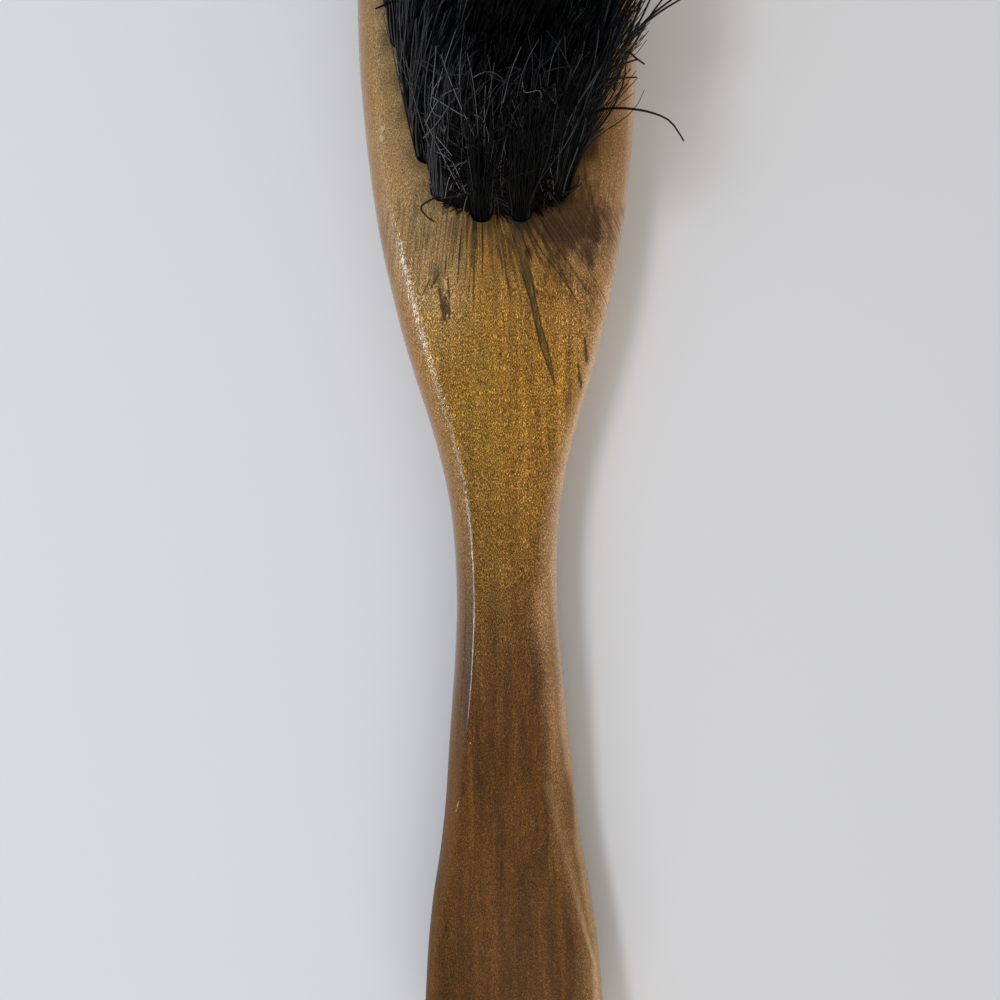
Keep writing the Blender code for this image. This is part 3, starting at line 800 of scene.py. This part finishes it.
def bare_colour(m, place, tone):
    """Amber at the neck, darker and browner on the handle partly as painted shade, painted sheen on the left
    of the head, a rose wash on its right, and a pale right edge of worn varnish and painted light.
    """
    x, y, _ = place
    drift = m.noise(place, *DRIFT)
    amber = m.ramp(tone, *zip(TONE_STOPS, AMBER))
    brown = m.ramp(tone, *zip(TONE_STOPS, BROWN))
    # Darker and browner towards the handle: partly the wood's own colour, partly painted shade
    colour = m.mix(m.spread(m.math("MULTIPLY_ADD", drift, BROWN_DRIFT, y), *BROWN_BY_Y), amber, brown)
    middle = m.product(m.spread(y, *WAIST_OLIVE_FROM_Y), m.spread(y, *WAIST_OLIVE_TO_Y))
    olive = m.product(m.spread(x, *WAIST_OLIVE_BY_X), middle, WAIST_OLIVE_SHARE)
    colour = m.mix(olive, colour, WAIST_OLIVE)
    head_part = m.spread(m.math("MULTIPLY_ADD", drift, HEAD_PART_DRIFT, y), *HEAD_PART_BY_Y)
    # Painted sheen: the left of the head is paled to khaki, as light from the left looks on the rough varnish
    sheen = m.product(m.spread(x, *SHEEN_FROM_X), m.spread(x, *SHEEN_TO_X), head_part, SHEEN_SHARE)
    colour = m.mix(sheen, colour, PAINTED_SHEEN_KHAKI)
    colour = m.mix(m.product(m.spread(x, *ROSE_BY_X), head_part, ROSE_SHARE), colour, HEAD_ROSE)
    edge_gap = m.math("MULTIPLY_ADD", m.math("SUBTRACT", drift, 0.5), EDGE_GAP_DRIFT, m.stored("inside"))
    # The pale right edge: partly worn varnish, partly painted light on the rounding that turns away from the
    # light
    right = m.spread(x, *RIGHT_BY_X)
    edge = m.spread(edge_gap, m.spread(y, *WIDEST_BY_Y), FULL_WIDTH)
    edge = m.product(right, edge, m.spread(y, *RIGHT_BY_Y))
    colour = m.mix(edge, colour, EDGE_RIGHT)
    colour = m.mix(m.product(right, m.spread(edge_gap, *RIM_BY_EDGE), RIM_SHARE), colour, RIM_CREAM)
    left = m.product(m.spread(x, *LEFT_BY_X), m.spread(edge_gap, *LEFT_BY_EDGE), m.spread(y, *LEFT_BY_Y))
    return m.mix(left, colour, EDGE_LEFT)


def stain_colour(m, place, colour):
    """Soaks the stains into a colour, with olive and then black round the tufts, the black being grime and
    painted shade of the hair.
    """
    x = place[0]
    from_tuft = m.stored("from_tuft")
    stain = m.stored("stain")
    patch = m.noise(place, *PATCHES)
    mottled = m.math("ADD", patch, m.noise(place, *STREAKS))
    mottled = m.math("MULTIPLY_ADD", mottled, MOTTLING, -MOTTLING)
    soaked = m.spread(m.math("ADD", mottled, stain), *STAIN_BY_NOISE)
    soaked = m.product(soaked, m.spread(stain, *STAIN_BY_STRENGTH), STAIN_SHARE)
    colour = m.mix(soaked, colour, m.mix(m.spread(x, *PURPLE_BY_X), STAIN_OLIVE, STAIN_PURPLE))
    olive = m.product(m.spread(from_tuft, *OLIVE_BY_TUFT), m.spread(patch, *OLIVE_BY_NOISE))
    colour = m.mix(m.product(olive, m.spread(x, *OLIVE_BY_X)), colour, TUFT_OLIVE)
    # Black round the tufts, stronger on the right: grime, and painted shade of the hair that leans over the
    # wood
    grime_and_shade = m.product(m.spread(from_tuft, *GRIME_AND_SHADE_BY_TUFT), m.spread(patch, *GRIME_AND_SHADE_BY_NOISE))
    return m.mix(m.product(grime_and_shade, m.spread(x, *GRIME_AND_SHADE_BY_X)), colour, DARK_GRIME_AND_SHADE)


def wood_material():
    """Honey-brown wood under old varnish."""
    m = Material("varnished_wood")
    place = m.place()
    y = place[1]
    inside = m.stored("inside")
    fine = m.noise(place, *FINE_GRAIN)
    ticks = m.math("SUBTRACT", m.noise(place, *SPECKLE), 0.5)
    cracks = wood_cracks(m, place)

    broad = m.math("MULTIPLY", m.noise(place, *BROAD_GRAIN), BROAD_SHARE)
    tone = m.math("ADD", broad, m.math("MULTIPLY", fine, 1 - BROAD_SHARE))
    shade = m.product(
        ticks, m.spread(y, *SPECKLE_BY_Y), m.spread(y, *HEAD_SPECKLE_BY_Y), m.spread(inside, *SPECKLE_BY_EDGE)
    )
    colour = bare_colour(m, place, tone)
    colour = m.node("VectorMath", colour, None, None, m.math("EXPONENT", shade), operation="SCALE").outputs[0]
    colour = stain_colour(m, place, colour)
    colour = m.mix(m.math("MULTIPLY", cracks, CRACK_SHARE), colour, CRACK_BROWN)
    colour = draw_marks(m, place, colour, fine)

    damage = m.math("MAXIMUM", m.spread(m.stored("gouge_away"), *GOUGE_DULL_BY_AWAY), m.stored("stain"))
    damage = m.math("MAXIMUM", damage, m.spread(m.stored("mark_away"), *MARK_DULL_BY_AWAY))
    dull = m.math("MAXIMUM", damage, m.math("MULTIPLY", cracks, CRACK_DULLNESS))
    coat = m.math("MULTIPLY", m.spread(dull, *COAT_BY_DAMAGE), m.spread(y, *COAT_BY_Y))
    height = m.math("MULTIPLY_ADD", ticks, SPECKLE_RISE, m.math("MULTIPLY", fine, GRAIN_RISE))
    height = m.math("SUBTRACT", height, m.math("MULTIPLY", cracks, CRACK_FALL))
    ripple = m.math("ADD", m.math("MULTIPLY", fine, GRAIN_IN_RIPPLES), m.noise(place, *RIPPLES))
    ripple = m.product(ripple, m.spread(y, *RIPPLE_BY_Y), m.spread(inside, *RIPPLE_BY_EDGE))
    return m.finish(
        Base_Color=colour, Roughness=0.5, Specular_IOR_Level=0.08, Normal=m.bump(height, GRAIN_HEIGHT),
        Coat_Weight=coat, Coat_Roughness=0.09, Coat_Normal=m.bump(ripple, RIPPLE_HEIGHT),
    )


def make_wood():
    """The whole wooden piece, drilled, worn and marked."""
    loop = outline()
    roots = [root_of(node) for node in tuft_nodes()]
    body = new_piece("varnished_body", wood_mesh(loop), wood_material())
    drill(body, roots)
    mark_wood(body.data, roots, loop)
    body.data.set_sharp_from_angle(angle=CREASE_ANGLE)
    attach(body, "root")
    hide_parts("wooden_body")


# Shades of the hair, from the darkest hair to the palest, and the painted light that pales the hairs towards
# the lit left side of the mass, and a little towards its right side
BLACK_HAIR = (
    (0.0, srgb(3, 3, 4)), (0.70, srgb(6, 7, 9)), (0.88, srgb(15, 17, 20)), (0.96, srgb(30, 32, 36)),
    (1.0, srgb(60, 62, 67)),
)
PAINTED_LIGHT_LEFT, PAINTED_LIGHT_RIGHT = (0.0, -12.0, -0.04, 0.33), (6.0, 14.0, 0.0, 0.13)
STRAY_HAIR = ((0.0, srgb(5, 4, 5)), (1.0, srgb(15, 12, 12)))
SHEEN_HAIR_SHADES = ((0.0, srgb(20, 21, 24)), (0.7, srgb(42, 44, 48)), (1.0, srgb(100, 102, 106)))
BLACK_SHINE, LOOSE_SHINE, MATTED_SHINE = 0.08, 0.16, 0.04


def hair_material(name, shades, shine):
    """Natural hair, each one a shade of its own, paled by painted light towards the sides of the mass."""
    m = Material(name)
    own = m.node("NewGeometry").outputs["Random Per Island"]
    x = m.place()[0]
    # Painted light: the further left a hair stands, the paler its shade, and a little so on the right
    own = m.math("ADD", own, m.spread(x, *PAINTED_LIGHT_LEFT))
    own = m.math("ADD", own, m.spread(x, *PAINTED_LIGHT_RIGHT))
    return m.finish(Base_Color=m.ramp(own, *shades), Roughness=0.42, Specular_IOR_Level=shine)


def soft_limit(values, knee, limit):
    """Holds values inside a limit, easing them in past the knee."""
    over = np.maximum(values - knee, 0)
    return np.minimum(values, knee) + (limit - knee) * (1 - np.exp(-over / (limit - knee)))


def tube_mesh(name, paths, radii):
    """Closed tubes along paths (hair, station, 3) with radii (hair, station)."""
    count, stations, _ = paths.shape
    along = np.gradient(paths, axis=1)
    along /= np.linalg.norm(along, axis=2, keepdims=True)
    whole = paths[:, -1] - paths[:, 0]
    side = np.column_stack([-whole[:, 1], whole[:, 0], np.full(count, 1e-6)])
    first = np.cross(along, np.broadcast_to(side[:, None], paths.shape))
    first /= np.linalg.norm(first, axis=2, keepdims=True)
    second = np.cross(along, first)
    rings = []
    for k in range(HAIR_SIDES):
        turn = 2 * math.pi * k / HAIR_SIDES
        rings.append(paths + radii[..., None] * (math.cos(turn) * first + math.sin(turn) * second))
    points = np.stack(rings, axis=2).reshape(-1, 3)
    base = (np.arange(count)[:, None, None] * stations + np.arange(stations - 1)[None, :, None]) * HAIR_SIDES
    here = base + np.arange(HAIR_SIDES)
    beside = base + (np.arange(HAIR_SIDES) + 1) % HAIR_SIDES
    walls = np.stack([here, beside, beside + HAIR_SIDES, here + HAIR_SIDES], axis=-1).reshape(-1, 4)
    starts = np.arange(count)[:, None] * stations * HAIR_SIDES + np.arange(HAIR_SIDES)
    ends = starts + (stations - 1) * HAIR_SIDES
    mesh = bpy.data.meshes.new(name)
    mesh.from_pydata(points.tolist(), [], walls.tolist() + starts[:, ::-1].tolist() + ends.tolist())
    return mesh


def hair_paths(root, rng):
    """Centre lines and radii of one tuft's hairs, from the floor of the hole to the tips."""
    count = HAIRS_PER_TUFT
    turn = rng.uniform(0, 2 * math.pi, count)
    start = BUNDLE_RADIUS * np.sqrt(rng.uniform(0, 1, count))[:, None]
    start = start * np.column_stack([np.cos(turn), np.sin(turn)])
    t = np.linspace(0, 1, HAIR_STEPS + 1)[None, :, None]
    front = smooth((FRONT_Y - root[1]) / FRONT_REACH)
    wild = 1 + FRONT_WILDNESS * front
    across = LEAN_ACROSS + LEAN_RIGHT_SHARE * max(root[0], 0) - LEAN_LEFT_SHARE * min(root[0], 0)
    along = LEAN_ALONG - LEAN_ALONG_SHARE * max(root[1] - FRONT_Y, 0) + FRONT_LEAN * front
    lean = np.array((across, along)) + rng.normal(0, TUFT_SCATTER, 2)
    lock_of_hair = (turn / (2 * math.pi) * LOCKS_PER_TUFT).astype(int)
    lock = rng.normal(0, LOCK_SCATTER * wild, (LOCKS_PER_TUFT, 2))[lock_of_hair]
    own = lock + rng.normal(0, HAIR_SCATTER * wild, (count, 2))
    own[rng.uniform(0, 1, count) < STRAY_SHARE] *= STRAY_SCATTER_SHARE
    wave = rng.normal(0, WAVE_SCATTER * wild, (count, 1, 2))
    turns = rng.uniform(*WAVES_PER_HAIR, (count, 1, 1))
    phase = rng.uniform(0, 2 * math.pi, (count, 1, 1))
    splay = 1 + ROOT_SPLAY * (1 - np.exp(-ROOT_SPLAY_PACE * t)) + TIP_SPLAY * t
    flat = root + start[:, None] * splay
    flat = flat + lean * t ** np.array(LEAN_POWERS) + own[:, None] * t**OWN_POWER
    flat = flat + wave * np.sin(2 * math.pi * turns * t + phase) * t
    flat[..., 0] = np.sign(flat[..., 0]) * soft_limit(np.abs(flat[..., 0]), SIDE_KNEE, SIDE_LIMIT)
    flat[..., 1] = soft_limit(flat[..., 1], END_KNEE, END_LIMIT)
    lengths = HAIR_LENGTH - np.abs(rng.normal(0, HAIR_LENGTH_SCATTER, count))
    short = rng.uniform(0, 1, count) < STRAY_SHARE * wild
    lengths[short] *= rng.uniform(*SHORT_HAIR_SHARES, short.sum())
    piece = (lengths / HAIR_STEPS)[:, None]
    run = np.linalg.norm(np.diff(flat, axis=1), axis=2)
    rise = np.sqrt(np.maximum(piece**2 - run**2, (LEAST_RISE_SHARE * piece) ** 2))
    height = np.concatenate([np.zeros((count, 1)), np.cumsum(rise, axis=1)], axis=1) + HEAD_THICKNESS
    above = np.dstack([flat, height])
    below = np.column_stack([root + start, np.full(count, HAIR_FLOOR)])[:, None]
    thick = HAIR_RADIUS * rng.uniform(*RADIUS_SHARES, count)
    thinning = np.concatenate([[1], 1 - TIP_THINNING_SHARE * np.linspace(0, 1, HAIR_STEPS + 1) ** 2])
    return np.concatenate([below, above], axis=1), thick[:, None] * thinning


def make_tufts(material):
    """Every tuft as single hairs in its hole."""
    for number, node in enumerate(tuft_nodes()):
        paths, radii = hair_paths(root_of(node), np.random.default_rng(FIRST_SEED + number))
        tuft = new_piece(node.replace("tuft", "hair"), tube_mesh(node, paths, radii), material)
        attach(tuft, "root")
        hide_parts(node)


# Single hairs that stick out of the mass, in millimetres: a few points along each
STRAYS = (
    ((14.0, 53.1, 25.0), (15.3, 52.1, 30.0), (17.4, 50.3, 34.0), (19.5, 48.8, 36.5), (21.9, 47.4, 38.0),
     (24.1, 45.9, 38.5), (26.0, 43.4, 38.0)),
    ((17.1, 54.0, 32.0), (17.7, 55.3, 36.0), (18.2, 56.5, 37.5), (19.4, 55.3, 38.0), (20.6, 54.4, 38.0)),
    ((16.4, 55.2, 35.0), (18.2, 55.5, 36.5), (19.8, 55.7, 37.0)),
    ((14.4, 54.1, 32.0), (15.7, 54.7, 33.5), (17.1, 54.2, 35.0), (19.9, 53.7, 36.0)),
    ((14.3, 51.7, 21.0), (15.9, 52.3, 24.0), (17.3, 52.5, 30.0), (18.1, 53.9, 35.0), (18.0, 56.2, 38.0)),
    ((13.9, 51.7, 20.0), (15.4, 52.4, 21.5), (16.9, 53.0, 22.5)),
    ((10.1, 44.7, 16.6), (12.0, 44.9, 18.0), (13.6, 45.6, 19.0)),
    ((11.4, 44.8, 17.4), (12.7, 45.5, 18.5), (13.2, 46.6, 19.5)),
    ((8.7, 45.7, 17.0), (9.8, 44.3, 16.6), (10.1, 42.1, 15.6)),
    ((-10.9, 44.3, 17.5), (-12.3, 43.6, 17.6), (-13.6, 42.7, 17.0), (-12.8, 41.6, 16.2), (-11.5, 40.9, 15.4)),
    ((-16.0, 73.2, 24.0), (-17.3, 71.6, 26.0), (-19.2, 70.1, 27.0)),
    ((-15.6, 58.6, 24.0), (-15.4, 57.3, 22.0), (-14.9, 54.8, 20.0), (-14.4, 52.3, 17.5)),
    ((17.9, 57.9, 35.0), (19.3, 59.3, 37.0), (21.5, 61.2, 38.0), (23.9, 62.8, 38.5), (25.9, 64.2, 38.5)),
    ((18.7, 58.5, 35.5), (20.4, 60.1, 37.5), (23.1, 61.7, 38.5), (26.0, 63.2, 38.8)),
    ((17.2, 57.2, 33.0), (18.9, 59.3, 36.0), (20.4, 61.4, 37.5), (21.8, 64.2, 38.0)),
    ((17.6, 56.6, 33.5), (19.6, 58.6, 36.0), (21.2, 60.9, 37.8), (23.2, 63.4, 38.2)),
    ((18.3, 59.2, 35.0), (19.5, 61.3, 36.8), (20.5, 63.9, 37.8)),
    ((16.9, 56.1, 31.5), (18.2, 58.4, 34.5), (19.3, 60.7, 36.8), (20.1, 63.5, 37.6)),
)

# Bent hairs at the front of the mass that show one by one, given in the same way; their pale shades are
# painted sheen on black hair
BENT_HAIRS = (
    ((-10.4, 51.9, 33.1), (-9.8, 51.2, 31.4), (-8.6, 51.0, 30.9)),
    ((3.3, 52.9, 36.6), (3.7, 52.3, 35.0), (5.8, 52.4, 35.2), (6.1, 51.7, 33.4)),
    ((-8.3, 47.0, 22.8), (-5.9, 47.4, 23.6), (-3.1, 47.1, 23.1)),
    ((-10.3, 43.9, 17.6), (-7.0, 44.3, 18.2), (-3.3, 45.0, 19.5)),
    ((-5.4, 49.0, 26.7), (-2.3, 46.9, 22.8), (2.4, 43.5, 17.2)),
    ((-10.0, 49.6, 27.8), (-7.7, 48.0, 24.6)),
    ((-1.2, 47.5, 23.9), (2.3, 47.5, 23.9)),
    ((3.1, 48.9, 26.7), (5.5, 46.5, 22.3)),
    ((0.7, 46.6, 22.3), (2.7, 44.5, 18.9)),
    ((8.4, 44.1, 18.4), (11.2, 41.4, 15.6)),
    ((-2.2, 42.2, 15.6), (0.7, 44.1, 18.0)),
)
LOOSE_STATIONS = 16
STRAY_RADIUS = 0.00021
BENT_RADIUS = 0.00007
LOOSE_THINNING_SHARE = 0.35

# Short bent hairs strewn over the sloping front of the mass, and darker ones matted between the
# front tufts, in millimetres: their number, the least and greatest distance from the front's
# foot, the share by which they may sink in, their heading and its scatter in radians, and the
# longest of the pieces that one hair has
STREWN = {
    "count": 170, "nearest": 1.0, "farthest": 13.0, "sink": 0.15,
    "heading": math.pi / 2, "scatter": 0.8, "longest": 3.2,
}
MATTED = {
    "count": 1700, "nearest": 0.1, "farthest": 5.5, "sink": 0.95,
    "heading": 0.0, "scatter": 0.30, "longest": 2.0,
}
STREWN_HALF_WIDTH = 9.6
STREWN_PIECES = 3
SHORTEST_PIECE = 0.5
BEND_SCATTER = 0.24
LOOSE_SEED = 7

# The front of the mass, in millimetres: its foot bows back to both sides, and its slope eases
# out below the tips
FRONT_FOOT_Y, FRONT_FOOT_Z, FRONT_SLOPE = 42.2, 15.4, 2.0
FRONT_BOW = 0.030
FRONT_KNEE_Z, FRONT_TOP_Z = 31.0, 38.3


def smooth_path(points):
    """A hair's centre line through a few points, in metres."""
    points = np.array(points) * MM
    knots = np.linspace(0, 1, len(points))
    line = [
        [through(list(zip(knots, points[:, axis])), at) for axis in range(3)]
        for at in np.linspace(0, 1, LOOSE_STATIONS)
    ]
    return np.array(line)


def strewn_hairs(rng, count, nearest, farthest, sink, heading, scatter, longest):
    """Short hairs that lie across the front of the mass, sunk into it by up to a share."""
    lines = []
    for _ in range(count):
        x = rng.uniform(-STREWN_HALF_WIDTH, STREWN_HALF_WIDTH)
        y = FRONT_FOOT_Y + FRONT_BOW * x * x + rng.uniform(nearest, farthest)
        turn = rng.normal(heading, scatter)
        piece = rng.uniform(SHORTEST_PIECE, longest)
        bend = rng.normal(0, BEND_SCATTER)
        x -= STREWN_PIECES / 2 * piece * math.cos(turn)
        y -= STREWN_PIECES / 2 * piece * math.sin(turn)
        depth = rng.uniform(0, 1)
        line = []
        for _ in range(STREWN_PIECES + 1):
            above_foot = max(y - FRONT_FOOT_Y - FRONT_BOW * x * x, 0)
            height = FRONT_FOOT_Z + above_foot * FRONT_SLOPE * (1 - sink * depth)
            line.append((x, y, float(soft_limit(height, FRONT_KNEE_Z, FRONT_TOP_Z))))
            x += piece * math.cos(turn)
            y += piece * math.sin(turn)
            turn += bend
        lines.append(line)
    return lines


def make_loose_hairs(name, lines, radius, material):
    """Single hairs given point by point."""
    paths = np.array([smooth_path(line) for line in lines])
    thinning = 1 - LOOSE_THINNING_SHARE * np.linspace(0, 1, LOOSE_STATIONS) ** 2
    radii = np.broadcast_to(radius * thinning, paths.shape[:2])
    hairs = new_piece(name, tube_mesh(name, paths, radii), material)
    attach(hairs, "root")


def make_hair():
    """The tufts, and the loose hairs that stick out of them or lie on them."""
    make_tufts(hair_material("black_hair", BLACK_HAIR, BLACK_SHINE))
    stray_hair = hair_material("stray_hair", STRAY_HAIR, LOOSE_SHINE)
    make_loose_hairs("stray_hairs", STRAYS, STRAY_RADIUS, stray_hair)
    # Painted sheen: the bent and strewn hairs take pale shades that stand for light on black hair
    sheen_hair = hair_material("sheen_hair", SHEEN_HAIR_SHADES, LOOSE_SHINE)
    make_loose_hairs("bent_hairs", BENT_HAIRS, BENT_RADIUS, sheen_hair)
    rng = np.random.default_rng(LOOSE_SEED)
    make_loose_hairs("strewn_hairs", strewn_hairs(rng, **STREWN), BENT_RADIUS, sheen_hair)
    matted_hair = hair_material("matted_hair", STRAY_HAIR, MATTED_SHINE)
    make_loose_hairs("matted_hairs", strewn_hairs(rng, **MATTED), HAIR_RADIUS, matted_hair)


def make_stage():
    """A plain pale floor under soft light."""
    bpy.ops.mesh.primitive_plane_add(size=FLOOR_SIZE)
    floor = bpy.context.object
    floor.name = "floor"
    cloth = Material("pale_floor")
    floor.data.materials.append(cloth.finish(Base_Color=srgb(*FLOOR_COLOUR), Roughness=FLOOR_ROUGHNESS))
    for name, place, (width, height), power, colour in LIGHTS:
        light = bpy.data.lights.new(name, "AREA")
        light.shape = "RECTANGLE"
        light.size = width
        light.size_y = height
        light.energy = power
        light.color = srgb(*colour)[:3]
        lamp = bpy.data.objects.new(name, light)
        lamp.location = place
        lamp.rotation_euler = (-Vector(place)).to_track_quat("-Z", "Y").to_euler()
        bpy.context.scene.collection.objects.link(lamp)
    world = bpy.data.worlds.new("world")
    world.use_nodes = True
    sky = world.node_tree.nodes["Background"]
    sky.inputs["Color"].default_value = srgb(*SKY_COLOUR)
    sky.inputs["Strength"].default_value = SKY_STRENGTH
    bpy.context.scene.world = world
    bpy.context.scene.view_settings.view_transform = "Standard"


def make_camera():
    """A camera looking straight down."""
    camera = bpy.data.cameras.new("camera")
    camera.angle = CAMERA_FOV
    camera.clip_start = CAMERA_NEAR
    holder = bpy.data.objects.new("camera", camera)
    holder.location = CAMERA_PLACE
    holder.rotation_euler = (0, 0, CAMERA_ROLL)
    bpy.context.scene.collection.objects.link(holder)
    bpy.context.scene.camera = holder


make_camera()
make_stage()
make_wood()
make_hair()
